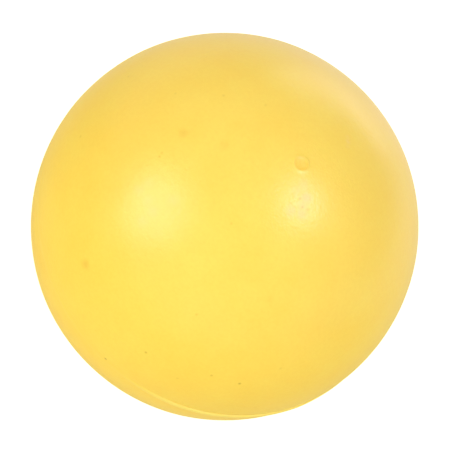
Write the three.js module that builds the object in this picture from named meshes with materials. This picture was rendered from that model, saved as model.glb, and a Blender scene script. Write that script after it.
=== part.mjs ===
// A hollow rubber play ball: two moulded half shells bonded rim to rim, with a self-sealing
// inflation plug in the pole of one of them.
//
// Millimetres. The origin is the ball's centre, the seam lies in the XY plane, and +Z is the
// plug's axis. Every piece is a profile turned once round that axis, and pieces that meet share
// the points of the surface where they meet.

import * as THREE from "three";

// Shells
const BALL_DIAMETER = 70;
const WALL_THICKNESS = 5;

// Seam: each rim is bevelled outside and inside, and bonding gum fills the space between
const SEAM_WEB_THICKNESS = 0.4;
const OUTER_BEVEL_HEIGHT = 0.45;
const OUTER_BEVEL_DEPTH = 0.4;
const OUTER_BEAD_RISE = 0.3;
const INNER_BEVEL_HEIGHT = 1.1;
const INNER_BEVEL_DEPTH = 0.8;
const INNER_BEAD_RISE = 0.6;

// Inflation plug: a stem in a bore, with a flange that the air presses on its shoulder
const STEM_DIAMETER = 2.8;
const FLANGE_DIAMETER = 7;
const FLANGE_THICKNESS = 1.6;
const PLUG_EDGE_WIDTH = 0.35;
const PLUG_EDGE_DROP = 0.2;
const BORE_EDGE_WIDTH = 0.35;
const BORE_EDGE_DROP = 0.2;

// Patch over the flange, thinned to a feather edge all round
const PATCH_DIAMETER = 15;
const PATCH_THICKNESS = 1.2;
const PATCH_EDGE_THICKNESS = 0.25;
const PATCH_SKIVE_WIDTH = 2.2;

// Facets
const TURN_STEPS = 60;
const MERIDIAN_STEP = THREE.MathUtils.degToRad(6);
const ROUNDING_STEPS = 4;
const BEAD_STEPS = 8;

const ballRadius = BALL_DIAMETER / 2;
const cavityRadius = ballRadius - WALL_THICKNESS;
const stemRadius = STEM_DIAMETER / 2;
const flangeRadius = FLANGE_DIAMETER / 2;
const patchRadius = PATCH_DIAMETER / 2;
const boreMouthRadius = stemRadius + BORE_EDGE_WIDTH;

// Heights along the plug's axis
const mouthHeight = heightOnSphere(ballRadius, boreMouthRadius);
const flangeFaceHeight = heightOnSphere(cavityRadius, flangeRadius);
const shoulderHeight = flangeFaceHeight + FLANGE_THICKNESS;

// A point of a profile: its distance from the plug's axis, and its height.
function at(reach, height) {
  return new THREE.Vector2(reach, height);
}

function heightOnSphere(radius, reach) {
  return Math.sqrt(radius * radius - reach * reach);
}

// An arc about the ball's centre. Latitudes run from 0 at the seam to a right angle at the plug.
function meridian(radius, fromLatitude, toLatitude) {
  const steps = Math.max(1, Math.ceil(Math.abs(toLatitude - fromLatitude) / MERIDIAN_STEP));
  const points = [];
  for (let step = 0; step <= steps; step += 1) {
    const latitude = THREE.MathUtils.lerp(fromLatitude, toLatitude, step / steps);
    points.push(at(radius * Math.cos(latitude), radius * Math.sin(latitude)));
  }
  return points;
}

// Part of an ellipse about a centre, between two angles that are measured up from its long reach.
function ellipse(centre, halfReach, halfHeight, fromAngle, toAngle, steps) {
  const points = [];
  for (let step = 0; step <= steps; step += 1) {
    const angle = THREE.MathUtils.lerp(fromAngle, toAngle, step / steps);
    points.push(at(centre.x + halfReach * Math.cos(angle), centre.y + halfHeight * Math.sin(angle)));
  }
  return points;
}

// The rim of the upper half shell (side 1) or the lower one (side -1): where its bevels start on
// the outer and the inner surface, and the flat land between them.
function rim(side) {
  const landHeight = SEAM_WEB_THICKNESS / 2;
  const outerHeight = landHeight + OUTER_BEVEL_HEIGHT;
  const innerHeight = landHeight + INNER_BEVEL_HEIGHT;
  return {
    outerEdge: at(heightOnSphere(ballRadius, outerHeight), side * outerHeight),
    outerLand: at(ballRadius - OUTER_BEVEL_DEPTH, side * landHeight),
    innerLand: at(cavityRadius + INNER_BEVEL_DEPTH, side * landHeight),
    innerEdge: at(heightOnSphere(cavityRadius, innerHeight), side * innerHeight),
    outerLatitude: side * Math.asin(outerHeight / ballRadius),
    innerLatitude: side * Math.asin(innerHeight / cavityRadius),
  };
}

// The stretch of the cavity that the patch is bonded to, from the flange out to the patch's edge.
function patchSeat() {
  const flangeLatitude = Math.acos(flangeRadius / cavityRadius);
  const edgeLatitude = Math.acos(patchRadius / cavityRadius);
  return meridian(cavityRadius, flangeLatitude, edgeLatitude);
}

// The wall of the bore from its mouth down to the shoulder, and the counterbore for the flange.
function stepOfBore() {
  const mouthCentre = at(boreMouthRadius, mouthHeight - BORE_EDGE_DROP);
  const quarter = Math.PI / 2;
  return [
    ...ellipse(mouthCentre, BORE_EDGE_WIDTH, BORE_EDGE_DROP, quarter, 2 * quarter, ROUNDING_STEPS),
    at(stemRadius, shoulderHeight),
    at(flangeRadius, shoulderHeight),
  ];
}

function valveHalfShell() {
  const edge = rim(1);
  const mouthLatitude = Math.acos(boreMouthRadius / ballRadius);
  const patchLatitude = Math.acos(patchRadius / cavityRadius);
  return [
    ...meridian(ballRadius, edge.outerLatitude, mouthLatitude),
    ...stepOfBore(),
    ...patchSeat(),
    ...meridian(cavityRadius, patchLatitude, edge.innerLatitude),
    edge.innerLand,
    edge.outerLand,
    edge.outerEdge,
  ];
}

function plainHalfShell() {
  const edge = rim(-1);
  const southPole = -Math.PI / 2;
  return [
    ...meridian(ballRadius, southPole, edge.outerLatitude),
    edge.outerLand,
    edge.innerLand,
    ...meridian(cavityRadius, edge.innerLatitude, southPole),
  ];
}

// The gum fills the web between the rims and both pairs of bevels, with a rounded bead outside
// that stands proud of the ball and a wider one inside.
function seamStrip() {
  const upper = rim(1);
  const lower = rim(-1);
  const outerCentre = at(upper.outerEdge.x, 0);
  const innerCentre = at(upper.innerEdge.x, 0);
  const outerRise = ballRadius + OUTER_BEAD_RISE - outerCentre.x;
  const innerRise = cavityRadius - INNER_BEAD_RISE - innerCentre.x;
  const quarter = Math.PI / 2;
  return [
    ...ellipse(outerCentre, outerRise, upper.outerEdge.y, -quarter, quarter, BEAD_STEPS),
    upper.outerLand,
    upper.innerLand,
    ...ellipse(innerCentre, innerRise, upper.innerEdge.y, quarter, -quarter, BEAD_STEPS),
    lower.innerLand,
    lower.outerLand,
    lower.outerEdge,
  ];
}

function valvePlug() {
  const faceRadius = stemRadius - PLUG_EDGE_WIDTH;
  const edgeCentre = at(faceRadius, mouthHeight - PLUG_EDGE_DROP);
  const quarter = Math.PI / 2;
  return [
    at(0, flangeFaceHeight),
    at(flangeRadius, flangeFaceHeight),
    at(flangeRadius, shoulderHeight),
    at(stemRadius, shoulderHeight),
    ...ellipse(edgeCentre, PLUG_EDGE_WIDTH, PLUG_EDGE_DROP, 0, quarter, ROUNDING_STEPS),
    at(0, mouthHeight),
  ];
}

// A dished disc that follows the cavity, flat in the middle where it covers the flange.
function valvePatch() {
  const thinRadius = cavityRadius - PATCH_EDGE_THICKNESS;
  const thickRadius = cavityRadius - PATCH_THICKNESS;
  const edgeLatitude = Math.acos(patchRadius / cavityRadius);
  const skiveLatitude = Math.acos((patchRadius - PATCH_SKIVE_WIDTH) / thickRadius);
  const pole = Math.PI / 2;
  return [
    ...meridian(thickRadius, pole, skiveLatitude),
    at(thinRadius * Math.cos(edgeLatitude), thinRadius * Math.sin(edgeLatitude)),
    ...patchSeat().reverse(),
    at(0, flangeFaceHeight),
  ];
}

// Turns a profile once round the plug's axis. The profile runs anticlockwise, so faces point out.
function turned(name, profile, material) {
  const sameSpot = 1e-6;
  const points = profile.filter((point, index) => (
    index === 0 || point.distanceTo(profile[index - 1]) > sameSpot
  ));
  const geometry = new THREE.LatheGeometry(points, TURN_STEPS);
  geometry.rotateX(Math.PI / 2);
  const mesh = new THREE.Mesh(geometry, material);
  mesh.name = name;
  return mesh;
}

const shellRubber = new THREE.MeshStandardMaterial({ color: 0xfcd84e, roughness: 0.45, metalness: 0 });
const seamGum = new THREE.MeshStandardMaterial({ color: 0xfbd750, roughness: 0.4, metalness: 0 });
const plugRubber = new THREE.MeshStandardMaterial({ color: 0xf6cd48, roughness: 0.5, metalness: 0 });
const patchRubber = new THREE.MeshStandardMaterial({ color: 0xd9a844, roughness: 0.7, metalness: 0 });

const ball = new THREE.Group();
ball.add(turned("valve_half_shell", valveHalfShell(), shellRubber));
ball.add(turned("plain_half_shell", plainHalfShell(), shellRubber));
ball.add(turned("seam_strip", seamStrip(), seamGum));
ball.add(turned("valve_plug", valvePlug(), plugRubber));
ball.add(turned("valve_patch", valvePatch(), patchRubber));

export default ball;
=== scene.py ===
# %% [markdown]
# # Dressing a rubber play ball
# This ball is hollow. Two moulded half shells are bonded rim to rim, and a small plug in the pole of
# one of them takes the inflating needle and closes behind it. A CAD model already holds those pieces
# at their real size. Here they become rubber: finer meshes with the small faults of a moulding,
# materials worked out from real sizes, and the soft light of a product photograph.

# %% Load the CAD pieces
import math
import random

import bmesh
import bpy
from mathutils import Matrix, Quaternion, Vector, kdtree, noise


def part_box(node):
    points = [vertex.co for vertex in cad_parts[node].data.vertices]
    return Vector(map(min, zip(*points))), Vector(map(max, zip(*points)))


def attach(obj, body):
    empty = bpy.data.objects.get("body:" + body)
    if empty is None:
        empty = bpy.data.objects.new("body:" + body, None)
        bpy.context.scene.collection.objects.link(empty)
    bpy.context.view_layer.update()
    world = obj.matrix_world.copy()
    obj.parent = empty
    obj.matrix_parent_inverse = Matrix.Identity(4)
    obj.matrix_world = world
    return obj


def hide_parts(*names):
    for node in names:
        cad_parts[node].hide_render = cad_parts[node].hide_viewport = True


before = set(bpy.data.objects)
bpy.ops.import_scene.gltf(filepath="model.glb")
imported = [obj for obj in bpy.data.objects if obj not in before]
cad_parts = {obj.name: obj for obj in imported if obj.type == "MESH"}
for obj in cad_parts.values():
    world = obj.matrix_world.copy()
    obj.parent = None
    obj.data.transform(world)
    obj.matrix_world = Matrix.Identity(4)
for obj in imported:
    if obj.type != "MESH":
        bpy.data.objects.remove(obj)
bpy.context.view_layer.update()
print("CAD nodes:", ", ".join(sorted(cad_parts)))

# %% [markdown]
# ## Sizes
# Blender measures in metres, and a ball is easier to think of in millimetres, so the ball's sizes are
# written in millimetres times MM. The studio round it keeps metres. The sizes could all be typed in
# again, but each CAD piece has a box, and a size that is read from a box follows a change in the CAD
# model.

# %% Measure the ball
MM = 0.001
ball_radius = -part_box("plain_half_shell")[0].z
bead_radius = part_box("seam_strip")[1].x
inner_edge_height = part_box("seam_strip")[1].z
flange_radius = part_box("valve_plug")[1].x
flange_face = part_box("valve_plug")[0].z
plug_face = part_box("valve_plug")[1].z
print(f"ball {2 * ball_radius / MM:.1f} mm across, plug face at {plug_face / MM:.2f} mm")

# %% [markdown]
# ## Camera
# A long lens, ten ball radii away, keeps the outline close to a true circle. The camera could be turned
# by eye, but two things in the picture fix it: the plug's distance from the middle gives the tilt of
# its axis, and its bearing gives the camera's roll. The ball is the same all round its axis, so the
# camera can stand on the -Y side.

# %% Turn the camera
PLUG_TILT = math.radians(28)
PLUG_BEARING = math.radians(39.4)

back = Vector((0, -math.sin(PLUG_TILT), math.cos(PLUG_TILT)))
uphill = (Vector((0, 0, 1)) - back * back.z).normalized()
sideways = back.cross(uphill)
right = uphill * math.cos(PLUG_BEARING) - sideways * math.sin(PLUG_BEARING)
up = uphill * math.sin(PLUG_BEARING) + sideways * math.cos(PLUG_BEARING)
print(f"camera {math.degrees(math.asin(back.z)):.0f} degrees above the floor")

# %% [markdown]
# ## Lens
# The ball's outline in the picture is a circle of known centre and radius. Seen from ten radii away, a
# ball's edge lies at a fixed slope from the lens's axis, so the outline's radius gives the focal length
# in pixels. The lens could be shifted to centre the ball, but a shift spoils other views, so the camera
# steps aside instead.

# %% Place the camera
IMAGE_SIDE_PX = 452
IMAGE_MIDDLE_PX = (IMAGE_SIDE_PX - 1) / 2
OUTLINE_CENTRE_PX = (224.2, 226.05)
OUTLINE_RADIUS_PX = 193.9
CAMERA_DISTANCE = 10 * ball_radius
SENSOR_WIDTH_MM = 36

limb_slope = ball_radius / math.sqrt(CAMERA_DISTANCE**2 - ball_radius**2)
focal_px = OUTLINE_RADIUS_PX / limb_slope
metres_per_px = CAMERA_DISTANCE / focal_px
aside = right * (IMAGE_MIDDLE_PX - OUTLINE_CENTRE_PX[0]) * metres_per_px
above = up * (OUTLINE_CENTRE_PX[1] - IMAGE_MIDDLE_PX) * metres_per_px
eye = back * CAMERA_DISTANCE + aside + above

camera_data = bpy.data.cameras.new("portrait_camera")
camera_data.sensor_width = SENSOR_WIDTH_MM
camera_data.lens = focal_px / IMAGE_SIDE_PX * SENSOR_WIDTH_MM
camera_data.clip_start = ball_radius
camera = bpy.data.objects.new("portrait_camera", camera_data)
camera.matrix_world = Matrix.Translation(eye) @ Matrix((right, up, back)).transposed().to_4x4()
bpy.context.scene.collection.objects.link(camera)
bpy.context.scene.camera = camera
print(f"lens {camera_data.lens:.1f} mm at {CAMERA_DISTANCE / MM:.0f} mm")

# %% [markdown]
# ## From the picture to the ball
# Highlights and marks have to land where the picture shows them. They could be nudged into place by
# trial. Following the line of sight through a pixel until it meets the ball gives the place at once.

# %% Find a pixel on the ball


def on_ball(pixel):
    """Where the line of sight through a pixel of the picture meets the ball."""
    across = pixel[0] - IMAGE_MIDDLE_PX
    upwards = IMAGE_MIDDLE_PX - pixel[1]
    ray = (right * across + up * upwards - back * focal_px).normalized()
    nearest = -ray.dot(eye)
    half_chord = math.sqrt(max(0, ball_radius**2 - (eye.length_squared - nearest**2)))
    return eye + ray * (nearest - half_chord)


print("the middle of the picture is at", on_ball((IMAGE_MIDDLE_PX, IMAGE_MIDDLE_PX)))

# %% [markdown]
# ## Colour and nodes
# Hex colours are easy to compare with a picture, but a shader works in linear light, so one function
# turns the first into the second. Another adds a node, sets its properties and fills its sockets, with
# a plain value or with a link.

# %% Helpers for materials
# A Mix node has a pair of inputs for each kind of value, all with the same two names. Numbers tell them
# apart, and these are the ones for colours.
MIX_FIRST = 6
MIX_SECOND = 7
MIX_RESULT = 2


def hex_colour(text):
    """Linear RGBA from an sRGB hex colour such as fdd653."""
    channels = [int(text[i:i + 2], 16) / 255 for i in (0, 2, 4)]
    linear = [c / 12.92 if c <= 0.04045 else ((c + 0.055) / 1.055) ** 2.4 for c in channels]
    return (*linear, 1.0)


def add_node(tree, kind, inputs=None, **settings):
    """Adds a node to a tree. An input's value may be a socket of another node, which is linked."""
    node = tree.nodes.new(kind)
    for name, value in settings.items():
        setattr(node, name, value)
    for key, value in (inputs or {}).items():
        if isinstance(value, bpy.types.NodeSocket):
            tree.links.new(value, node.inputs[key])
        else:
            node.inputs[key].default_value = value
    return node


def new_material(name):
    """An empty node material, with its tree."""
    material = bpy.data.materials.new(name)
    material.use_nodes = True
    material.node_tree.nodes.clear()
    return material, material.node_tree


print(f"middle grey in linear light: {hex_colour('808080')[0]:.3f}")

# %% [markdown]
# ## Floor
# The ball stands on plain paper that runs out of the picture on all sides. A backdrop that curves up
# would do as well, but from this high the camera sees nothing but paper round the ball, so one flat
# square is enough.

# %% Lay the floor
FLOOR_SIDE = 6.0

floor_bm = bmesh.new()
bmesh.ops.create_grid(floor_bm, x_segments=1, y_segments=1, size=FLOOR_SIDE / 2)
bmesh.ops.translate(floor_bm, verts=floor_bm.verts, vec=(0, 0, -ball_radius))
floor_mesh = bpy.data.meshes.new("studio_floor")
floor_bm.to_mesh(floor_mesh)
floor_bm.free()
floor = bpy.data.objects.new("studio_floor", floor_mesh)
bpy.context.scene.collection.objects.link(floor)
print(f"floor at {-ball_radius / MM:.1f} mm, {FLOOR_SIDE:.0f} m wide")

# %% [markdown]
# ## Paper
# Matt paper scatters light evenly, so a plain diffuse shader is all it needs. The ball picks up the
# paper's colour on its underside: warm on the near side, more neutral on the far one. Two sheets could
# be laid side by side, but their edge would show in the ball, so one sheet changes slowly from cream to
# a greyish pink across the floor.

# %% Paper colour
NEAR_PAPER = "d4c77c"
FAR_PAPER = "c4b0a6"
FAR_BEARING = math.radians(55)
FAR_STARTS = 0
FAR_ENDS = 4 * ball_radius


def across_floor(bearing):
    """The level direction that has a bearing in the picture."""
    towards = right * math.cos(bearing) + up * math.sin(bearing)
    return Vector((towards.x, towards.y, 0)).normalized()


floor_material, tree = new_material("matt_cream_paper")
place = add_node(tree, "ShaderNodeTexCoord").outputs["Object"]
far_way = add_node(tree, "ShaderNodeVectorMath", {
    0: place, 1: across_floor(FAR_BEARING),
}, operation="DOT_PRODUCT")
far_share = add_node(tree, "ShaderNodeMapRange", {
    "Value": far_way.outputs["Value"], "From Min": FAR_STARTS, "From Max": FAR_ENDS,
})
colour = add_node(tree, "ShaderNodeMix", {
    "Factor": far_share.outputs[0],
    MIX_FIRST: hex_colour(NEAR_PAPER), MIX_SECOND: hex_colour(FAR_PAPER),
}, data_type="RGBA")
paper = add_node(tree, "ShaderNodeBsdfDiffuse", {"Color": colour.outputs[MIX_RESULT]})
print(f"{floor_material.name}: {NEAR_PAPER} to {FAR_PAPER} over {FAR_ENDS / MM:.0f} mm")

# %% [markdown]
# ## White floor
# In the picture the paper is burnt out to white. More lamps would do that and burn out the ball as well,
# so the paper glows a little instead: for the camera's own rays, and more faintly for reflections. In
# those it is brighter on the far side and dark at the upper left, as the rim of the ball shows. The
# lamps still draw the ball's shadow on it.

# %% Paper glow
FLOOR_LIFT = 0.9
NEAR_LIFT_IN_GLOSS = 0.21
FAR_LIFT_IN_GLOSS = 0.55
DARK_BEARING = math.radians(135)
DARK_STARTS = 1.4 * ball_radius
DARK_ENDS = 3 * ball_radius

path = add_node(tree, "ShaderNodeLightPath")
dark_way = add_node(tree, "ShaderNodeVectorMath", {
    0: place, 1: across_floor(DARK_BEARING),
}, operation="DOT_PRODUCT")
near_lift = add_node(tree, "ShaderNodeMapRange", {
    "Value": dark_way.outputs["Value"], "From Min": DARK_STARTS, "From Max": DARK_ENDS,
    "To Min": NEAR_LIFT_IN_GLOSS, "To Max": 0.0,
})
mirrored_lift = add_node(tree, "ShaderNodeMath", {
    0: far_share.outputs[0], 1: FAR_LIFT_IN_GLOSS, 2: near_lift.outputs[0],
}, operation="MULTIPLY_ADD")
gloss = add_node(tree, "ShaderNodeMath", {
    0: path.outputs["Is Glossy Ray"], 1: path.outputs["Is Transmission Ray"],
}, operation="ADD")
in_gloss = add_node(tree, "ShaderNodeMath", {
    0: gloss.outputs[0], 1: mirrored_lift.outputs[0],
}, operation="MULTIPLY")
lift = add_node(tree, "ShaderNodeMath", {
    0: path.outputs["Is Camera Ray"], 1: FLOOR_LIFT, 2: in_gloss.outputs[0],
}, operation="MULTIPLY_ADD")
glow = add_node(tree, "ShaderNodeEmission", {"Strength": lift.outputs[0]})
both = add_node(tree, "ShaderNodeAddShader", {0: paper.outputs[0], 1: glow.outputs[0]})
add_node(tree, "ShaderNodeOutputMaterial", {"Surface": both.outputs[0]})
floor_mesh.materials.append(floor_material)
print(f"glow {FLOOR_LIFT} for the camera, {NEAR_LIFT_IN_GLOSS} and more in the gloss")

# %% [markdown]
# ## Soft boxes
# Two soft boxes make the two highlights, a wide one on the left and a smaller one on the right. They
# could be moved about until the highlights fit. But gloss shows a lamp where the line of sight is
# reflected towards it, so each box's place is worked out from the pixel of its highlight.

# %% Highlights
LEFT_HIGHLIGHT_PX = (157, 208)
RIGHT_HIGHLIGHT_PX = (299, 204)
LIGHT_DISTANCE = 0.6
LEFT_BOX_SIZE = 0.38
LEFT_BOX_WATTS = 1.42
RIGHT_BOX_SIZE = 0.185
RIGHT_BOX_WATTS = 1.1


def mirrored_sight(pixel):
    """The direction in which the ball reflects the line of sight through a pixel."""
    point = on_ball(pixel)
    sight = (point - eye).normalized()
    return sight.reflect(point.normalized())


def soft_box(name, towards, size, watts):
    """A round soft light that stands in some direction from the ball and is aimed at it."""
    data = bpy.data.lights.new(name, "AREA")
    data.shape = "DISK"
    data.size = size
    data.energy = watts
    lamp = bpy.data.objects.new(name, data)
    lamp.location = towards * LIGHT_DISTANCE
    lamp.rotation_mode = "QUATERNION"
    lamp.rotation_quaternion = towards.to_track_quat("Z", "Y")
    lamp.visible_camera = False
    bpy.context.scene.collection.objects.link(lamp)
    print(f"{name}: {math.degrees(math.asin(towards.z)):.0f} degrees above the floor")
    return lamp


soft_box("left_soft_box", mirrored_sight(LEFT_HIGHLIGHT_PX), LEFT_BOX_SIZE, LEFT_BOX_WATTS)
soft_box("right_soft_box", mirrored_sight(RIGHT_HIGHLIGHT_PX), RIGHT_BOX_SIZE, RIGHT_BOX_WATTS)

# %% [markdown]
# ## Fills
# The lower rim is bright in the picture, and no highlight there says why: light comes back from the room.
# White boards could stand round the ball. Two wide lamps that don't show in the gloss do the same with
# less noise. Each stands so many degrees from the line of sight, turned so many degrees round the
# picture.

# %% Light from the room
FILL_SIZE = 0.45
# Degrees from the line of sight, degrees round the picture, and watts
FILLS = {"low_fill": (62, 251, 1.17), "right_fill": (92, 322, 0.34)}

for name, (from_sight, round_picture, watts) in FILLS.items():
    off = math.radians(from_sight)
    turn = math.radians(round_picture)
    across = right * math.cos(turn) + up * math.sin(turn)
    fill = soft_box(name, back * math.cos(off) + across * math.sin(off), FILL_SIZE, watts)
    fill.visible_glossy = False

# %% [markdown]
# ## White card
# The pale band inside the upper right rim is a white card that stands behind the ball. A mesh that glows
# would do, but an area lamp gives less noise. It is kept out of the diffuse light, so it shows only in
# the gloss. Its top edge makes the band's inner edge, so the ends of that edge are placed by pixels.

# %% Pale band
BAND_EDGE_PX = ((299, 93), (377, 148))
CARD_DISTANCE = 8 * ball_radius
CARD_HEIGHT = 3 * ball_radius
CARD_OVERHANG = 1.25
CARD_WATTS = 0.11

left_end, right_end = [on_ball(pixel) + mirrored_sight(pixel) * CARD_DISTANCE for pixel in BAND_EDGE_PX]
card_data = bpy.data.lights.new("band_card", "AREA")
card_data.shape = "RECTANGLE"
card_data.size = (right_end - left_end).length * CARD_OVERHANG
card_data.size_y = CARD_HEIGHT
card_data.energy = CARD_WATTS
card = bpy.data.objects.new("band_card", card_data)
top_middle = (left_end + right_end) / 2
card_back = top_middle.normalized()
card_up = (right_end - left_end).cross(card_back).normalized()
turned = Matrix((card_up.cross(card_back), card_up, card_back)).transposed()
card.matrix_world = Matrix.Translation(top_middle - card_up * CARD_HEIGHT / 2) @ turned.to_4x4()
card.visible_camera = False
card.visible_diffuse = False
bpy.context.scene.collection.objects.link(card)
print(f"card {card_data.size / MM:.0f} by {CARD_HEIGHT / MM:.0f} mm")

# %% [markdown]
# ## Sky
# An even sky lights what the lamps leave out. A picture of a studio could stand in for it, but the ball
# shows no more than a soft overall light. The camera sees the sky at full strength, which is white, and
# the ball gets about half of that.

# %% Even light
SKY_STRENGTH = 0.544

sky = bpy.data.worlds.new("even_sky")
bpy.context.scene.world = sky
sky.use_nodes = True
tree = sky.node_tree
tree.nodes.clear()
path = add_node(tree, "ShaderNodeLightPath")
level = add_node(tree, "ShaderNodeMapRange", {
    "Value": path.outputs["Is Camera Ray"], "To Min": SKY_STRENGTH, "To Max": 1.0,
})
background = add_node(tree, "ShaderNodeBackground", {
    "Color": hex_colour("ffffff"), "Strength": level.outputs[0],
})
add_node(tree, "ShaderNodeOutputWorld", {"Surface": background.outputs[0]})
bpy.context.scene.view_settings.view_transform = "Standard"
print(f"sky {SKY_STRENGTH} on the ball, 1 for the camera")

# %% [markdown]
# ## Shell rubber: pigment
# The shells are natural rubber, coloured right through and pressed in a polished mould. That gives the
# eye a satin skin with soft broad highlights, and a colour that is never mixed quite evenly: wide pale
# clouds and a fine darker grain. A picture could be wrapped round the ball, but it would stretch at the
# poles. Noise in Object coordinates has no seam and keeps its size in millimetres everywhere.

# %% Pigment
CLOUD_SPACING = 9 * MM
CLOUD_DEEP = "ffd451"
CLOUD_PALE = "ffe062"
GRAIN_SPACING = 0.6 * MM
GRAIN_COLOUR = "f2c240"
GRAIN_STARTS = 0.35
GRAIN_FULL = 0.75
GRAIN_SHARE = 0.16

shell_rubber, tree = new_material("natural_rubber_moulded")
place = add_node(tree, "ShaderNodeTexCoord").outputs["Object"]
clouds = add_node(tree, "ShaderNodeTexNoise", {
    "Vector": place, "Scale": 1 / CLOUD_SPACING, "Detail": 3.0, "Roughness": 0.6,
})
clouded = add_node(tree, "ShaderNodeMix", {
    "Factor": clouds.outputs["Fac"], MIX_FIRST: hex_colour(CLOUD_DEEP), MIX_SECOND: hex_colour(CLOUD_PALE),
}, data_type="RGBA")
grain = add_node(tree, "ShaderNodeTexNoise", {
    "Vector": place, "Scale": 1 / GRAIN_SPACING, "Detail": 2.0,
})
grain_share = add_node(tree, "ShaderNodeMapRange", {
    "Value": grain.outputs["Fac"],
    "From Min": GRAIN_STARTS, "From Max": GRAIN_FULL, "To Max": GRAIN_SHARE,
})
pigment = add_node(tree, "ShaderNodeMix", {
    "Factor": grain_share.outputs[0],
    MIX_FIRST: clouded.outputs[MIX_RESULT], MIX_SECOND: hex_colour(GRAIN_COLOUR),
}, data_type="RGBA")
print(f"clouds {CLOUD_SPACING / MM:.0f} mm apart, grain {GRAIN_SPACING / MM:.1f} mm")

# %% [markdown]
# ## Shell rubber: marks
# A stain, a scuff or a speck sits in one place, so noise can't draw it. A painted picture could, but the
# meshes can carry the marks themselves: an attribute holds one number for each vertex, highest in the
# middle of a mark and 0 away from it. The material only says what a mark looks like. Stains are brown
# below the skin, scuffs are pale, and specks are ochre. Two kinds of mark are painted light: pale pink
# patches in the scuff layer are painted highlight inside the two highlights, and specks in the crumpled
# patch are painted olive as the shade of pits that turn away from the right soft box.

# %% Colour of the marks
STAIN_COLOUR = "c98d10"
STAIN_SHARE = 0.3
# Pale pink, for real scuffs and for patches of painted highlight in the two highlights
SCUFF_AND_HIGHLIGHT_COLOUR = "ffd8c4"
SCUFF_AND_HIGHLIGHT_SHARE = 0.4
SPECK_COLOUR = "c19b04"
# Olive, painted shade: specks in the crumpled patch whose pits turn away from the right soft box
PIT_SHADE_COLOUR = "6f8f20"

stain_mark = add_node(tree, "ShaderNodeAttribute", attribute_name="stain")
stain_share = add_node(tree, "ShaderNodeMath", {
    0: stain_mark.outputs["Fac"], 1: STAIN_SHARE,
}, operation="MULTIPLY")
stained = add_node(tree, "ShaderNodeMix", {
    "Factor": stain_share.outputs[0],
    MIX_FIRST: pigment.outputs[MIX_RESULT], MIX_SECOND: hex_colour(STAIN_COLOUR),
}, data_type="RGBA")
scuff_and_highlight_mark = add_node(tree, "ShaderNodeAttribute", attribute_name="scuff_and_painted_highlight")
scuff_and_highlight_share = add_node(tree, "ShaderNodeMath", {
    0: scuff_and_highlight_mark.outputs["Fac"], 1: SCUFF_AND_HIGHLIGHT_SHARE,
}, operation="MULTIPLY")
scuffed_and_highlit = add_node(tree, "ShaderNodeMix", {
    "Factor": scuff_and_highlight_share.outputs[0],
    MIX_FIRST: stained.outputs[MIX_RESULT], MIX_SECOND: hex_colour(SCUFF_AND_HIGHLIGHT_COLOUR),
}, data_type="RGBA")
crumple_and_pit_shade_mark = add_node(tree, "ShaderNodeAttribute", attribute_name="crumple_and_pit_shade")
# Specks are ochre dirt, but in the crumpled patch they are painted olive as the shade of their pits
speck_dirt_and_pit_shade = add_node(tree, "ShaderNodeMix", {
    "Factor": crumple_and_pit_shade_mark.outputs["Fac"],
    MIX_FIRST: hex_colour(SPECK_COLOUR), MIX_SECOND: hex_colour(PIT_SHADE_COLOUR),
}, data_type="RGBA")
speck_mark = add_node(tree, "ShaderNodeAttribute", attribute_name="speck")
shell_colour = add_node(tree, "ShaderNodeMix", {
    "Factor": speck_mark.outputs["Fac"],
    MIX_FIRST: scuffed_and_highlit.outputs[MIX_RESULT], MIX_SECOND: speck_dirt_and_pit_shade.outputs[MIX_RESULT],
}, data_type="RGBA")
print(f"colour so far: {len(tree.nodes)} nodes")

# %% [markdown]
# ## Shell rubber: satin
# A polished mould would leave the rubber evenly satin, but hands leave smudges about a finger wide, and a
# scuff is rougher than the skin round it. One roughness for the whole ball would make the highlights too
# even, so wide noise moves it a little up and down.

# %% Satin
SMUDGE_SPACING = 17 * MM
SMUDGE_STARTS = 0.3
SMUDGE_FULL = 0.7
CLEAN_ROUGHNESS = 0.29
SMUDGED_ROUGHNESS = 0.37
SCUFF_ROUGHENS = 0.15

smudges = add_node(tree, "ShaderNodeTexNoise", {
    "Vector": place, "Scale": 1 / SMUDGE_SPACING, "Detail": 5.0, "Roughness": 0.65,
})
satin = add_node(tree, "ShaderNodeMapRange", {
    "Value": smudges.outputs["Fac"], "From Min": SMUDGE_STARTS, "From Max": SMUDGE_FULL,
    "To Min": CLEAN_ROUGHNESS, "To Max": SMUDGED_ROUGHNESS,
})
shell_roughness = add_node(tree, "ShaderNodeMath", {
    0: scuff_and_highlight_mark.outputs["Fac"], 1: SCUFF_ROUGHENS, 2: satin.outputs[0],
}, operation="MULTIPLY_ADD")
print(f"roughness {CLEAN_ROUGHNESS} to {SMUDGED_ROUGHNESS}, up to {SCUFF_ROUGHENS} more on a scuff")

# %% [markdown]
# ## Shell rubber: pores and peel
# Close up, moulded rubber has a low orange peel, pores and a few wider pits. Faces for them would run
# into millions, and none is deep enough to change the outline, so they are bump. Real pores lie about
# 0.1 mm apart, half a pixel of this picture, so they are drawn four times as coarse as they are, and the
# pits about twice, or they wouldn't show.

# %% Pores and peel
PEEL_SPACING = 0.8 * MM
PEEL_HEIGHT = 0.03 * MM
CRUMPLE_HEIGHT = 0.04 * MM
PORE_SPACING = 0.4 * MM
PORE_HEIGHT = 0.008 * MM
PIT_SPACING = 1.0 * MM
PIT_RADIUS = 0.3 * MM
PIT_DEPTH = 0.01 * MM

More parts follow.
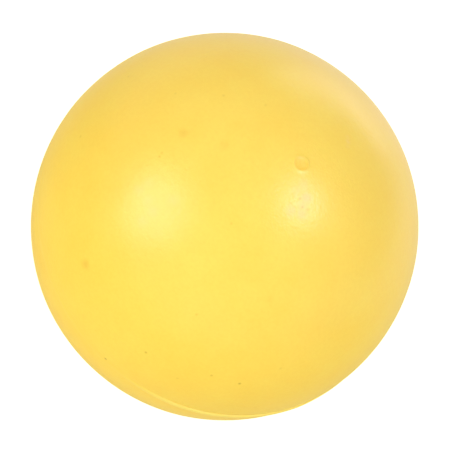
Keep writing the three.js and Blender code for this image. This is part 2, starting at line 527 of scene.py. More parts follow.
peel = add_node(tree, "ShaderNodeTexNoise", {
    "Vector": place, "Scale": 1 / PEEL_SPACING, "Detail": 2.0,
})
peel_height = add_node(tree, "ShaderNodeMath", {
    0: crumple_and_pit_shade_mark.outputs["Fac"], 1: CRUMPLE_HEIGHT, 2: PEEL_HEIGHT,
}, operation="MULTIPLY_ADD")
pits = add_node(tree, "ShaderNodeTexVoronoi", {"Vector": place, "Scale": 1 / PIT_SPACING})
pit = add_node(tree, "ShaderNodeMapRange", {
    "Value": pits.outputs["Distance"], "From Max": PIT_RADIUS / PIT_SPACING,
    "To Min": -PIT_DEPTH, "To Max": 0.0,
}, interpolation_type="SMOOTHSTEP")
peel_and_pits = add_node(tree, "ShaderNodeMath", {
    0: peel.outputs["Fac"], 1: peel_height.outputs[0], 2: pit.outputs[0],
}, operation="MULTIPLY_ADD")
pores = add_node(tree, "ShaderNodeTexNoise", {
    "Vector": place, "Scale": 1 / PORE_SPACING, "Detail": 1.0,
})
relief = add_node(tree, "ShaderNodeMath", {
    0: pores.outputs["Fac"], 1: PORE_HEIGHT, 2: peel_and_pits.outputs[0],
}, operation="MULTIPLY_ADD")
shell_bump = add_node(tree, "ShaderNodeBump", {"Height": relief.outputs[0], "Distance": 1.0})
print(f"peel {PEEL_HEIGHT / MM:.2f} mm high, {(PEEL_HEIGHT + CRUMPLE_HEIGHT) / MM:.2f} mm where crumpled")

# %% [markdown]
# ## Shell rubber: body
# Rubber lets light in a little way, and red light furthest, which gives the warm glow. A flat paint would
# do without it and look like plastic. The IOR and the soaking depth are the same for every moulded piece
# of the ball, so they are kept together for the other rubbers to use.

# %% Rubber body
RUBBER_IOR = 1.52
SOAK_SHARE = 0.1
SOAK_RADII = (1.0, 0.6, 0.15)
SOAK_DEPTH = 0.5 * MM
RUBBER_BODY = {
    "IOR": RUBBER_IOR, "Subsurface Weight": SOAK_SHARE, "Subsurface Radius": SOAK_RADII,
    "Subsurface Scale": SOAK_DEPTH,
}

surface = add_node(tree, "ShaderNodeBsdfPrincipled", {
    "Base Color": shell_colour.outputs[MIX_RESULT], "Roughness": shell_roughness.outputs[0],
    "Normal": shell_bump.outputs[0], **RUBBER_BODY,
})
add_node(tree, "ShaderNodeOutputMaterial", {"Surface": surface.outputs[0]})
print(f"{shell_rubber.name}: {len(tree.nodes)} nodes")

# %% [markdown]
# ## Marks that the picture shows
# A moulded ball is never quite clean. Grains of dirt pressed into the hot rubber leave dark specks in
# small pits, oil and scorched crumbs leave soft stains below the skin, and handling crumples the skin in
# places. Pale patches of painted highlight are laid into the two highlights, and the specks in the right
# highlight's crumpled patch get painted shade. Random marks would do for any ball. This one is known,
# so each mark is placed by its pixel, with a strength from 0 to 1.

# %% Marks in the picture
SPECK_PIXELS = {
    (105.1, 358.3): 1.0, (239.1, 383.1): 0.75, (145.4, 351.9): 0.62, (211, 375): 0.47, (196, 314): 0.32,
    (177, 377.8): 0.25, (159, 156): 0.28, (161.5, 152.2): 0.26, (265, 104.6): 0.17, (223, 95): 0.2,
    (175, 93): 0.18, (231, 223): 0.2, (128, 76): 0.18, (80, 136): 0.25, (280, 368): 0.22,
    # Specks in the right highlight: pressed in as pits, and painted olive there as the pits' shade
    (299.4, 198.2): 0.36, (301.9, 206.7): 0.3, (307.2, 209.2): 0.24, (290, 202.6): 0.2, (294, 196.8): 0.15,
}
STAIN_PIXELS = {(85, 263.6): 1.0, (183, 132.6): 0.6, (223.5, 144.3): 0.4, (270, 299.5): 0.25}
SCUFF_PIXELS = [((347, 136), (348, 146))]
# Patches of painted highlight: pale pink spots that whiten and break up the two highlights
PAINTED_HIGHLIGHT_PIXELS = {
    (139, 190): 0.2, (148, 183): 0.15, (147.5, 200): 0.2, (152, 211): 0.25, (173, 200): 0.2, (142, 221): 0.2,
    (306, 197.5): 0.8, (302, 205): 0.6, (301, 213): 0.65, (291, 210): 0.6, (303, 184): 0.4, (296, 190): 0.35,
}
CRUMPLE_PIXELS = {(300, 203): 1.0, (152, 203): 0.35}

specks = [(on_ball(pixel), strength) for pixel, strength in SPECK_PIXELS.items()]
stains = [(on_ball(pixel), strength) for pixel, strength in STAIN_PIXELS.items()]
painted_highlights = [(on_ball(pixel), strength) for pixel, strength in PAINTED_HIGHLIGHT_PIXELS.items()]
crumples = [(on_ball(pixel), strength) for pixel, strength in CRUMPLE_PIXELS.items()]
scuff_lines = [(on_ball(first), on_ball(last)) for first, last in SCUFF_PIXELS]
print(f"{len(specks)} specks and {len(stains)} stains in the picture")

# %% [markdown]
# ## Marks on the hidden side
# The back of the ball is as old as its front, so it gets marks too. They could be placed by hand, but
# chance does it better. A fixed seed makes the same ball on every run.

# %% Marks by chance
HIDDEN_SPECKS = 34
HIDDEN_SPECK_STRENGTHS = (0.2, 1.0)
HIDDEN_STAINS = 9
HIDDEN_STAIN_STRENGTHS = (0.3, 1.0)
HIDDEN_SCUFFS = 6
SCUFF_LENGTH = 4 * MM
SEAM_CLEARANCE = 2 * MM
LIMB_FACING = 0.15
MARKS_SEED = 11

draw = random.Random(MARKS_SEED)


def hidden_place():
    """A random place on the side of the ball that the camera doesn't see, clear of the seam."""
    while True:
        outwards = Vector([draw.gauss(0, 1) for _ in range(3)]).normalized()
        if outwards.dot(back) < LIMB_FACING and abs(outwards.z) * ball_radius > SEAM_CLEARANCE:
            return outwards * ball_radius


specks += [(hidden_place(), draw.uniform(*HIDDEN_SPECK_STRENGTHS)) for _ in range(HIDDEN_SPECKS)]
stains += [(hidden_place(), draw.uniform(*HIDDEN_STAIN_STRENGTHS)) for _ in range(HIDDEN_STAINS)]
for _ in range(HIDDEN_SCUFFS):
    first = hidden_place()
    along = first.orthogonal().normalized() * SCUFF_LENGTH
    along.rotate(Quaternion(first.normalized(), draw.uniform(0, math.tau)))
    scuff_lines.append((first, first + along))
print(f"{len(specks)} specks, {len(stains)} stains, {len(scuff_lines)} scuffs in all")

# %% [markdown]
# ## Scuffs
# A ball that rolls over grit picks up short pale lines. A line could have a mark of its own kind, but a
# row of round marks that overlap is one too, and the same tool then stamps everything. The marks weaken
# towards both ends, as a scuff does.

# %% Scuffs
SCUFF_STAMPS = 6
SCUFF_STRENGTH = 0.5
SCUFF_END_FADE = 0.6

scuffs = []
for first, last in scuff_lines:
    for step in range(SCUFF_STAMPS):
        share = step / (SCUFF_STAMPS - 1)
        fade = 1 - abs(2 * share - 1) * SCUFF_END_FADE
        scuffs.append((first.lerp(last, share), SCUFF_STRENGTH * fade))
print(f"{len(scuffs)} stamps for {len(scuff_lines)} scuffs")

# %% [markdown]
# ## Drawing a profile
# Every piece of the ball is round about the plug's axis. A sphere primitive could be cut and thickened,
# but its rims would not match the seam. A profile that is drawn as a chain of vertices in the XZ plane
# gives each rim, bevel and bore its exact place, so neighbours share their edges. Three tools draw it:
# one for arcs, one for straight stretches, and one that makes an arc oval.

# %% Profile tools


def arc_about(bm, vert, centre, degrees, steps):
    """Spins a vertex about a point of the XZ plane, and returns the arc's vertices in order."""
    made = bmesh.ops.spin(
        bm, geom=[vert], cent=(centre[0], 0, centre[1]), axis=(0, 1, 0),
        angle=math.radians(degrees), steps=steps,
    )
    trail = [made["geom_last"][0]]
    while trail[-1] is not vert:
        behind = [edge.other_vert(trail[-1]) for edge in trail[-1].link_edges]
        trail.append(next(v for v in behind if v not in trail))
    return trail[::-1]


def line_to(bm, vert, reach, height):
    """Adds a straight stretch to a profile, and returns its far vertex."""
    corner = bm.verts.new((reach, 0, height))
    bm.edges.new((vert, corner))
    return corner


def stretch(bm, verts, centre, across, upright):
    """Scales part of a profile about a point of the XZ plane, which makes a round arc an oval one."""
    space = Matrix.Translation((-centre[0], 0, -centre[1]))
    bmesh.ops.scale(bm, vec=(across, 1, upright), verts=verts, space=space)


def latitude(reach, height):
    """Degrees above the seam's plane."""
    return math.degrees(math.atan2(height, reach))


print(f"the plug's flange lies at {latitude(flange_radius, flange_face):.1f} degrees")

# %% [markdown]
# ## Turning it
# Spin is Blender's lathe: it carries the profile once round the axis. A Screw modifier does the same, but
# its result can't be shaped further until it is applied. Spin leaves a vertex for every step where the
# profile touches the axis, so these are merged, and the faces are then turned outwards.

# %% Turning tools
TURN_STEPS = 360
MERGE_DISTANCE = 0.001 * MM
SHARP_CORNER = math.radians(40)


def turn_profile(bm):
    """Turns the profile once round the plug's axis into a closed solid."""
    bmesh.ops.spin(
        bm, geom=bm.verts[:] + bm.edges[:], cent=(0, 0, 0), axis=(0, 0, 1),
        angle=math.tau, steps=TURN_STEPS, use_merge=True,
    )
    bmesh.ops.remove_doubles(bm, verts=bm.verts, dist=MERGE_DISTANCE)
    bmesh.ops.recalc_face_normals(bm, faces=bm.faces)


def finish_piece(bm, name, material):
    """Makes a mesh object, smooth but for its sharp corners."""
    mesh = bpy.data.meshes.new(name)
    bm.to_mesh(mesh)
    bm.free()
    mesh.shade_smooth()
    mesh.set_sharp_from_angle(angle=SHARP_CORNER)
    mesh.materials.append(material)
    piece = bpy.data.objects.new(name, mesh)
    bpy.context.scene.collection.objects.link(piece)
    print(f"{name}: {len(mesh.polygons)} faces")
    return piece


print(f"at the seam a step of the turn is {math.tau * ball_radius / TURN_STEPS / MM:.2f} mm long")

# %% [markdown]
# ## Rims and bore
# Both rims are bevelled outside and inside to hold more bonding gum, and the plug's bore has a rounded
# mouth. These sizes lie inside the ball, where no box shows them, so they repeat the CAD model's. One
# differs: the stem is 2.8 mm across, but the ring that the picture shows at its edge is nearer 2.56 mm,
# so the mouth closes in on the plug's head.

# %% Rims and bore
WALL = 5 * MM
WEB_HALF = 0.2 * MM
OUTER_BEVEL_HEIGHT = 0.45 * MM
OUTER_BEVEL_DEPTH = 0.4 * MM
INNER_BEVEL_DEPTH = 0.8 * MM
FLANGE_THICKNESS = 1.6 * MM
STEM_RADIUS = 1.4 * MM
RIM_RADIUS = 1.28 * MM
LIP_WIDTH = 0.35 * MM
LIP_DROP = 0.2 * MM

cavity_radius = ball_radius - WALL
outer_edge_height = WEB_HALF + OUTER_BEVEL_HEIGHT
outer_edge_reach = math.sqrt(ball_radius**2 - outer_edge_height**2)
inner_edge_reach = math.sqrt(cavity_radius**2 - inner_edge_height**2)
outer_land = ball_radius - OUTER_BEVEL_DEPTH
inner_land = cavity_radius + INNER_BEVEL_DEPTH
shoulder = flange_face + FLANGE_THICKNESS
mouth_radius = STEM_RADIUS + LIP_WIDTH
lip_spread = mouth_radius - RIM_RADIUS
print(f"seam {2 * outer_edge_height / MM:.1f} mm wide, mouth {2 * mouth_radius / MM:.1f} mm across")

# %% [markdown]
# ## Marks in the mesh
# A mark is stamped into the vertices round it, strongest in the middle, and a speck is also pressed in.
# But a speck is hardly larger than a face. The whole ball could be cut finer, at the cost of a million
# faces, so only the faces round each speck are.

# %% Stamp the marks
SPECK_RADIUS = 0.38 * MM
SPECK_DEPTH = 0.015 * MM
FINE_REACH = 2.5 * SPECK_RADIUS
MARK_CUTS = 3
SKIN_TOLERANCE = 0.01 * MM


def on_skin(point):
    """Whether a point lies on the ball's outer surface."""
    return point.length > ball_radius - SKIN_TOLERANCE


def cut_finer(bm):
    """Cuts the outer faces round each speck into a finer grid that lies on the ball."""
    bm.faces.index_update()
    finder = kdtree.KDTree(len(bm.faces))
    for face in bm.faces:
        finder.insert(face.calc_center_median(), face.index)
    finder.balance()
    near = {index for place, _ in specks for _, index, _ in finder.find_range(place, FINE_REACH)}
    edges = [
        edge for edge in bm.edges
        if any(face.index in near for face in edge.link_faces)
        and all(on_skin(vert.co) for vert in edge.verts)
    ]
    made = bmesh.ops.subdivide_edges(bm, edges=edges, cuts=MARK_CUTS, use_grid_fill=True)
    for vert in made["geom_inner"]:
        if isinstance(vert, bmesh.types.BMVert):
            vert.co = vert.co.normalized() * ball_radius


def stamp(bm, layer, marks, radius, depth=0):
    """Writes marks into a vertex layer, strongest in the middle, and presses them in."""
    bm.verts.index_update()
    bm.verts.ensure_lookup_table()
    finder = kdtree.KDTree(len(bm.verts))
    for vert in bm.verts:
        finder.insert(vert.co, vert.index)
    finder.balance()
    for place, strength in marks:
        for _, index, distance in finder.find_range(place, radius):
            vert = bm.verts[index]
            share = strength * (1 - (distance / radius) ** 2) ** 2
            vert[layer] = max(vert[layer], share)
            vert.co -= vert.co.normalized() * depth * share


print(f"faces within {FINE_REACH / MM:.2f} mm of a speck are cut {MARK_CUTS + 1} times as fine")

# %% [markdown]
# ## The skin
# Rubber shrinks unevenly as it cools, so a moulded ball is very slightly wavy, and its highlights have
# soft ragged edges. Bump could fake that, but the waves are real shape, so they go into the mesh: noise
# moves each outer vertex along its radius. They fade out at the seam and the bore, where pieces meet.
# Scuffs and the patches of painted highlight are both pale and a little rougher, so one layer carries both.

# %% Skin
SWELL_SPACING = 12 * MM
SWELL_HEIGHT = 0.03 * MM
RIPPLE_SPACING = 4 * MM
RIPPLE_HEIGHT = 0.006 * MM
SEAM_FADE = 2 * MM
BORE_FADE = 3 * MM
STAIN_RADIUS = 1.25 * MM
SCUFF_RADIUS = 0.45 * MM
PAINTED_HIGHLIGHT_RADIUS = 1.6 * MM
CRUMPLE_RADIUS = 3.2 * MM


def raise_waves(bm):
    """Moves the outer vertices in and out a little."""
    for vert in bm.verts:
        if on_skin(vert.co):
            seam_share = min(1, (abs(vert.co.z) - outer_edge_height) / SEAM_FADE)
            from_bore = vert.co.xy.length - mouth_radius if vert.co.z > 0 else BORE_FADE
            fade = max(0, seam_share) * min(1, max(0, from_bore / BORE_FADE))
            swell = SWELL_HEIGHT * noise.noise(vert.co / SWELL_SPACING)
            ripple = RIPPLE_HEIGHT * noise.noise(vert.co / RIPPLE_SPACING)
            vert.co += vert.co.normalized() * fade * (swell + ripple)


def shape_skin(bm):
    """Gives the outer surface its waves and its marks."""
    speck = bm.verts.layers.float.new("speck")
    stain = bm.verts.layers.float.new("stain")
    scuff_and_painted_highlight = bm.verts.layers.float.new("scuff_and_painted_highlight")
    crumple_and_pit_shade = bm.verts.layers.float.new("crumple_and_pit_shade")
    cut_finer(bm)
    raise_waves(bm)
    stamp(bm, speck, specks, SPECK_RADIUS, SPECK_DEPTH)
    stamp(bm, stain, stains, STAIN_RADIUS)
    stamp(bm, scuff_and_painted_highlight, scuffs, SCUFF_RADIUS)
    # The patches of painted highlight share the scuffs' layer
    stamp(bm, scuff_and_painted_highlight, painted_highlights, PAINTED_HIGHLIGHT_RADIUS)
    # The crumpled patch roughens the bump and marks where specks are painted olive as shade
    stamp(bm, crumple_and_pit_shade, crumples, CRUMPLE_RADIUS)


print(f"waves up to {(SWELL_HEIGHT + RIPPLE_HEIGHT) / MM:.3f} mm high")

# %% [markdown]
# ## Flash
# Where the plug meets the shell, a little rubber has squeezed out and cured as a low uneven ring, called
# flash. It could be a ring of its own, but on the real ball half of it belongs to the plug and half to
# the shell. So both are turned with a rounded edge, and the vertices of that edge are then raised to a
# crest where the two meet.

# %% Flash round the plug
FLASH_RISE = 0.1 * MM
FLASH_SPACING = 0.9 * MM
FLASH_UNEVENNESS = 0.3


def smooth_step(share):
    """Eases from 0 to 1."""
    share = min(1, max(0, share))
    return share * share * (3 - 2 * share)


def raise_flash(bm, reach_low, reach_high, width):
    """Fills the groove at the plug's edge with a low ring of flash, highest where plug and shell meet."""
    for vert in bm.verts:
        reach = vert.co.xy.length
        below = plug_face - vert.co.z
        if reach_low <= reach <= reach_high and 0 < below < LIP_DROP + MERGE_DISTANCE:
            crest = smooth_step(1 - abs(reach - RIM_RADIUS) / width)
            uneven = 1 + FLASH_UNEVENNESS * noise.noise(vert.co / FLASH_SPACING)
            vert.co.z = plug_face + FLASH_RISE * crest * uneven


print(f"flash about {FLASH_RISE / MM:.1f} mm high, {2 * RIM_RADIUS / MM:.2f} mm across")

# %% [markdown]
# ## Bored half
# The upper half shell has the bore for the plug at its pole: a rounded mouth that closes in on the plug's
# head, a straight stem and a wider seat below for the plug's flange. The bore could be cut with a
# boolean, but here it is just part of the profile. That starts at the outer rim and runs up to the
# mouth, down the bore, along the inside and back across the rim.

# %% Bored half
OUTER_STEPS = 88
INNER_STEPS = 30
LIP_STEPS = 5
HEAD_DEPTH = 0.8 * MM

bm = bmesh.new()
rim_start = bm.verts.new((outer_edge_reach, 0, outer_edge_height))
sweep = latitude(mouth_radius, plug_face) - latitude(outer_edge_reach, outer_edge_height)
vert = arc_about(bm, rim_start, (0, 0), -sweep, OUTER_STEPS)[-1]
lip = arc_about(bm, vert, (mouth_radius, plug_face - lip_spread), -90, LIP_STEPS)
stretch(bm, lip, (0, plug_face), 1, LIP_DROP / lip_spread)
vert = line_to(bm, lip[-1], STEM_RADIUS, plug_face - HEAD_DEPTH)
vert = line_to(bm, vert, STEM_RADIUS, shoulder)
vert = line_to(bm, vert, flange_radius, shoulder)
vert = line_to(bm, vert, flange_radius, flange_face)
sweep = latitude(flange_radius, flange_face) - latitude(inner_edge_reach, inner_edge_height)
vert = arc_about(bm, vert, (0, 0), sweep, INNER_STEPS)[-1]
vert = line_to(bm, vert, inner_land, WEB_HALF)
vert = line_to(bm, vert, outer_land, WEB_HALF)
bm.edges.new((vert, rim_start))
turn_profile(bm)
raise_flash(bm, RIM_RADIUS - MERGE_DISTANCE, mouth_radius, lip_spread)
shape_skin(bm)
bored_half = finish_piece(bm, "bored_half", shell_rubber)

# %% [markdown]
# ## Plain half
# The lower half shell is a plain bowl. It could be a mirrored copy of the upper one with its bore filled,
# but its own profile is shorter: an arc from the outer rim to the pole, and from the same rim across the
# joint and along the inside to the pole.

# %% Plain half
bm = bmesh.new()
rim_start = bm.verts.new((outer_edge_reach, 0, -outer_edge_height))
sweep = 90 - latitude(outer_edge_reach, outer_edge_height)
arc_about(bm, rim_start, (0, 0), sweep, OUTER_STEPS)
vert = line_to(bm, rim_start, outer_land, -WEB_HALF)
vert = line_to(bm, vert, inner_land, -WEB_HALF)
vert = line_to(bm, vert, inner_edge_reach, -inner_edge_height)
sweep = 90 - latitude(inner_edge_reach, inner_edge_height)
arc_about(bm, vert, (0, 0), sweep, INNER_STEPS)
turn_profile(bm)
shape_skin(bm)
plain_half = finish_piece(bm, "plain_half", shell_rubber)

# %% [markdown]
# ## Seam gum: streaks
# The halves are bonded with raw rubber gum that cures in the mould's parting line and is drawn out in
# streaks along the seam. Noise stretched along one axis would run straight through the ball, so it is
# laid on a strip instead: the angle round the axis times the radius, and the height. Streaks are about a
# pixel wide and only break up the line a little.

# %% Streaks along the seam
STREAK_LENGTH = 3 * MM
STREAK_WIDTH = 0.15 * MM

seam_gum, tree = new_material("rubber_gum_cured")
place = add_node(tree, "ShaderNodeTexCoord").outputs["Object"]
axes = add_node(tree, "ShaderNodeSeparateXYZ", {0: place})
azimuth = add_node(tree, "ShaderNodeMath", {
    0: axes.outputs["Y"], 1: axes.outputs["X"],
}, operation="ARCTAN2")
along = add_node(tree, "ShaderNodeMath", {
    0: azimuth.outputs[0], 1: ball_radius / STREAK_LENGTH,
}, operation="MULTIPLY")
over = add_node(tree, "ShaderNodeMath", {0: axes.outputs["Z"], 1: 1 / STREAK_WIDTH}, operation="MULTIPLY")
strip = add_node(tree, "ShaderNodeCombineXYZ", {"X": along.outputs[0], "Y": over.outputs[0]})
streaks = add_node(tree, "ShaderNodeTexNoise", {"Vector": strip.outputs[0], "Scale": 1.0, "Detail": 2.0})
print(f"streaks {STREAK_LENGTH / MM:.0f} mm long and {STREAK_WIDTH / MM:.2f} mm wide")

# %% [markdown]
# ## Seam gum: finish
# The gum's line is paler and smoother than the shells: partly the gum's own paler tone, and partly a
# painted highlight along the proud bead, brighter than its shading alone. The line could be painted on
# the shells, but the gum is a piece of its own, so it has its own material. Where the bead has been trimmed
# flush, the gum takes the colour of the shells, and an attribute says where that is.

# %% Seam gum
# Both streak colours are paler than the shells, partly as painted highlight on the proud bead
STREAK_DEEP = "ffe064"
STREAK_PALE = "ffec84"
STREAK_HEIGHT = 0.006 * MM
FLUSH_COLOUR = "ffd959"
SMOOTH_GUM_ROUGHNESS = 0.26
DULL_GUM_ROUGHNESS = 0.4

streaked_and_highlit_gum = add_node(tree, "ShaderNodeMix", {
    "Factor": streaks.outputs["Fac"],
    MIX_FIRST: hex_colour(STREAK_DEEP), MIX_SECOND: hex_colour(STREAK_PALE),
}, data_type="RGBA")
rise_and_highlight_mark = add_node(tree, "ShaderNodeAttribute", attribute_name="rise_and_painted_highlight")
gum_with_painted_bead_highlight = add_node(tree, "ShaderNodeMix", {
    "Factor": rise_and_highlight_mark.outputs["Fac"],
    MIX_FIRST: hex_colour(FLUSH_COLOUR), MIX_SECOND: streaked_and_highlit_gum.outputs[MIX_RESULT],
}, data_type="RGBA")
speck_mark = add_node(tree, "ShaderNodeAttribute", attribute_name="speck")
colour = add_node(tree, "ShaderNodeMix", {
    "Factor": speck_mark.outputs["Fac"],
    MIX_FIRST: gum_with_painted_bead_highlight.outputs[MIX_RESULT], MIX_SECOND: hex_colour(SPECK_COLOUR),
}, data_type="RGBA")
satin = add_node(tree, "ShaderNodeMapRange", {
    "Value": streaks.outputs["Fac"], "To Min": SMOOTH_GUM_ROUGHNESS, "To Max": DULL_GUM_ROUGHNESS,
})
bump = add_node(tree, "ShaderNodeBump", {"Height": streaks.outputs["Fac"], "Distance": STREAK_HEIGHT})
surface = add_node(tree, "ShaderNodeBsdfPrincipled", {
    "Base Color": colour.outputs[MIX_RESULT], "Roughness": satin.outputs[0],
    "Normal": bump.outputs[0], **RUBBER_BODY,
})
add_node(tree, "ShaderNodeOutputMaterial", {"Surface": surface.outputs[0]})
print(f"{seam_gum.name}: {len(tree.nodes)} nodes")

# %% [markdown]
# ## Seam ring
# The gum fills the gap between the rims and squeezes out on both sides, as a fine bead outside and a wide
# one inside. A thin torus laid over the seam would look the same from outside, but it would join nothing.
# The ring's profile follows the two rims, and each bead is half a circle stretched to its height.

# %% Seam ring
INNER_BEAD_RISE = 0.6 * MM
OUTER_BEAD_STEPS = 12
INNER_BEAD_STEPS = 8

bm = bmesh.new()
lower = bm.verts.new((outer_edge_reach, 0, -outer_edge_height))
bead = arc_about(bm, lower, (outer_edge_reach, 0), -180, OUTER_BEAD_STEPS)
stretch(bm, bead, (outer_edge_reach, 0), (bead_radius - outer_edge_reach) / outer_edge_height, 1)
vert = line_to(bm, bead[-1], outer_land, WEB_HALF)
vert = line_to(bm, vert, inner_land, WEB_HALF)
vert = line_to(bm, vert, inner_edge_reach, inner_edge_height)
inner = arc_about(bm, vert, (inner_edge_reach, 0), -180, INNER_BEAD_STEPS)
inner_rise = inner_edge_reach - (cavity_radius - INNER_BEAD_RISE)
stretch(bm, inner, (inner_edge_reach, 0), inner_rise / inner_edge_height, 1)
vert = line_to(bm, inner[-1], inner_land, -WEB_HALF)
vert = line_to(bm, vert, outer_land, -WEB_HALF)
bm.edges.new((vert, lower))
turn_profile(bm)
print(f"bead {(bead_radius - ball_radius) / MM:.1f} mm proud all round")

# %% [markdown]
# ## Letting the bead down
# On the real ball the line stands proud for part of the way round and then sinks into the surface, where
# the flash was trimmed closer. A bead of changing height could be swept round, but it is simpler to lower
# the finished one: each of its vertices moves towards the ball by its place round the axis. The share
# that is left goes into an attribute, which the gum's colour reads, so the painted highlight on the
# bead fades where it sinks.

# %% Trim the bead
SEAM_SINKS_PX = (112, 365)
SINK_ARC = math.radians(24)
FULL_ARC = math.radians(55)
RAISED_ARC = math.radians(250)
SETTLED_SHARE = 0.35
TRIMMED_SHARE = 0.06
BEAD_UNEVENNESS = 0.2
WANDER_SPACING = 5 * MM

sinks_at = on_ball(SEAM_SINKS_PX)
sink_azimuth = math.atan2(sinks_at.y, sinks_at.x)


def bead_share(point):
    """How much of the bead's full height is left at a point of the seam."""
    into = (math.atan2(point.y, point.x) - sink_azimuth) % math.tau
    proud = min(smooth_step(into / SINK_ARC), smooth_step((RAISED_ARC - into) / SINK_ARC))
    proud *= 1 - (1 - SETTLED_SHARE) * smooth_step((into - FULL_ARC) / SINK_ARC)
    uneven = 1 + BEAD_UNEVENNESS * noise.noise(Vector((point.x, point.y, 0)) / WANDER_SPACING)
    return max(TRIMMED_SHARE, proud) * uneven


# The share of the bead's height that is left also sets how much painted highlight the gum gets
rise_and_painted_highlight = bm.verts.layers.float.new("rise_and_painted_highlight")
speck = bm.verts.layers.float.new("speck")
for vert in bm.verts:
    vert[rise_and_painted_highlight] = bead_share(vert.co)
    proud = vert.co.length - ball_radius
    if proud > 0:
        vert.co = vert.co.normalized() * (ball_radius + proud * vert[rise_and_painted_highlight])
cut_finer(bm)
stamp(bm, speck, specks, SPECK_RADIUS, SPECK_DEPTH)
seam_ring = finish_piece(bm, "seam_ring", seam_gum)

# %% [markdown]
# ## Plug rubber
# The plug is a softer rubber, so that it closes again behind the needle. It has nearly the shells' colour
# and is much handled, which gives the eye a matt, slightly mottled face, a shade deeper than the skin
# round it. The shells' rubber could be used again, but its satin would be too bright here.

# %% Plug rubber
MOTTLE_SPACING = 0.5 * MM
MOTTLE_HEIGHT = 0.012 * MM
MOTTLE_DEEP = "fecd48"
MOTTLE_PALE = "ffd858"
WORN_ROUGHNESS = 0.4
MATT_ROUGHNESS = 0.52

plug_rubber, tree = new_material("soft_rubber_moulded")
place = add_node(tree, "ShaderNodeTexCoord").outputs["Object"]
mottle = add_node(tree, "ShaderNodeTexNoise", {
    "Vector": place, "Scale": 1 / MOTTLE_SPACING, "Detail": 3.0,
})
colour = add_node(tree, "ShaderNodeMix", {
    "Factor": mottle.outputs["Fac"],
    MIX_FIRST: hex_colour(MOTTLE_DEEP), MIX_SECOND: hex_colour(MOTTLE_PALE),
}, data_type="RGBA")
matt = add_node(tree, "ShaderNodeMapRange", {
    "Value": mottle.outputs["Fac"], "To Min": WORN_ROUGHNESS, "To Max": MATT_ROUGHNESS,
})
bump = add_node(tree, "ShaderNodeBump", {"Height": mottle.outputs["Fac"], "Distance": MOTTLE_HEIGHT})
surface = add_node(tree, "ShaderNodeBsdfPrincipled", {
    "Base Color": colour.outputs[MIX_RESULT], "Roughness": matt.outputs[0],
    "Normal": bump.outputs[0], **RUBBER_BODY,
})
add_node(tree, "ShaderNodeOutputMaterial", {"Surface": surface.outputs[0]})
print(f"{plug_rubber.name}: {len(tree.nodes)} nodes")

# %% [markdown]
# ## Plug
# The plug is a soft button that is pushed into the bore from inside. Its stem fills the bore and its wide
# flange stops it from coming out. From outside only its round face shows, with the low ring of flash at
# its edge. A disc would be enough for that, but the whole plug is turned, so that it is a real piece. Its
# head is then pushed aside by a hair, as such plugs sit, which opens a fine crack on one side.

# %% Turn the plug
HEAD_GAP = 0.006 * MM
HEAD_SHIFT = 0.006 * MM
BROW_WIDTH = 0.6 * MM
head_radius = RIM_RADIUS - HEAD_GAP

bm = bmesh.new()
vert = bm.verts.new((0, 0, flange_face))
vert = line_to(bm, vert, flange_radius, flange_face)
vert = line_to(bm, vert, flange_radius, shoulder)
vert = line_to(bm, vert, STEM_RADIUS, shoulder)
vert = line_to(bm, vert, STEM_RADIUS, plug_face - HEAD_DEPTH)
vert = line_to(bm, vert, head_radius, plug_face - BROW_WIDTH)
brow = arc_about(bm, vert, (head_radius - BROW_WIDTH, plug_face - BROW_WIDTH), -90, LIP_STEPS)
stretch(bm, brow, (0, plug_face), 1, LIP_DROP / BROW_WIDTH)
line_to(bm, brow[-1], 0, plug_face)
turn_profile(bm)
raise_flash(bm, head_radius - BROW_WIDTH, head_radius + MERGE_DISTANCE, BROW_WIDTH)
slide = -right.xy.normalized() * HEAD_SHIFT
head = [vert for vert in bm.verts if vert.co.z > plug_face - HEAD_DEPTH]
bmesh.ops.translate(bm, verts=head, vec=(slide.x, slide.y, 0))
plug = finish_piece(bm, "inflation_plug", plug_rubber)

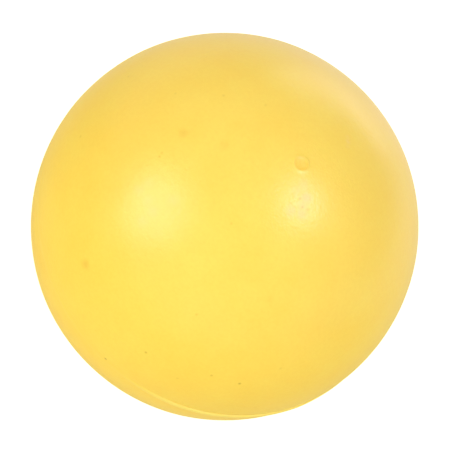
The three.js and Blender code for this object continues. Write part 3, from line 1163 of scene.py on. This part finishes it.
# %% [markdown]
# ## Patch
# Inside the ball a patch of gum rubber is bonded over the plug's flange. Its edge is skived thin so that
# it doesn't lift. It could be turned again like the rest, but the CAD solid already has that shape and
# nothing shows it, so it stays as it is and only gets its material: rubber sheet from a calender, brownish
# and matt to the eye, with faint lines from the rolls.

# %% Patch rubber
ROLL_LINE_SPACING = 0.8 * MM
ROLL_LINE_HEIGHT = 0.02 * MM
# A Wave texture draws about three lines in one unit of its scale
LINES_PER_UNIT = 3
SHEET_DEEP = "cf9c3a"
SHEET_PALE = "e0b052"
SHEET_ROUGHNESS = 0.7

patch_rubber, tree = new_material("gum_rubber_calendered")
place = add_node(tree, "ShaderNodeTexCoord").outputs["Object"]
lines = add_node(tree, "ShaderNodeTexWave", {
    "Vector": place, "Scale": 1 / ROLL_LINE_SPACING / LINES_PER_UNIT, "Distortion": 1.5, "Detail": 2.0,
})
colour = add_node(tree, "ShaderNodeMix", {
    "Factor": lines.outputs["Fac"], MIX_FIRST: hex_colour(SHEET_DEEP), MIX_SECOND: hex_colour(SHEET_PALE),
}, data_type="RGBA")
bump = add_node(tree, "ShaderNodeBump", {"Height": lines.outputs["Fac"], "Distance": ROLL_LINE_HEIGHT})
surface = add_node(tree, "ShaderNodeBsdfPrincipled", {
    "Base Color": colour.outputs[MIX_RESULT], "Roughness": SHEET_ROUGHNESS,
    "Normal": bump.outputs[0], "IOR": RUBBER_IOR,
})
add_node(tree, "ShaderNodeOutputMaterial", {"Surface": surface.outputs[0]})

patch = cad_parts["valve_patch"]
patch.data.materials.clear()
patch.data.materials.append(patch_rubber)
print("patch:", patch.data.materials[0].name)

# %% [markdown]
# ## Hand over
# Each new piece stands for one CAD node and rides on the ball's only body. Its CAD node is hidden;
# without that, the plain CAD solids would show as well as the dressed ones. The table also names the
# material slot that each finish belongs to, which is not used here.

# %% Join the pieces to the CAD
for piece, node, slot in (
    (bored_half, "valve_half_shell", "shell_rubber"),
    (plain_half, "plain_half_shell", "shell_rubber"),
    (seam_ring, "seam_strip", "seam_gum"),
    (plug, "valve_plug", "plug_rubber"),
):
    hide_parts(node)
    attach(piece, "root")
    print(f"{piece.name} stands for {node}")
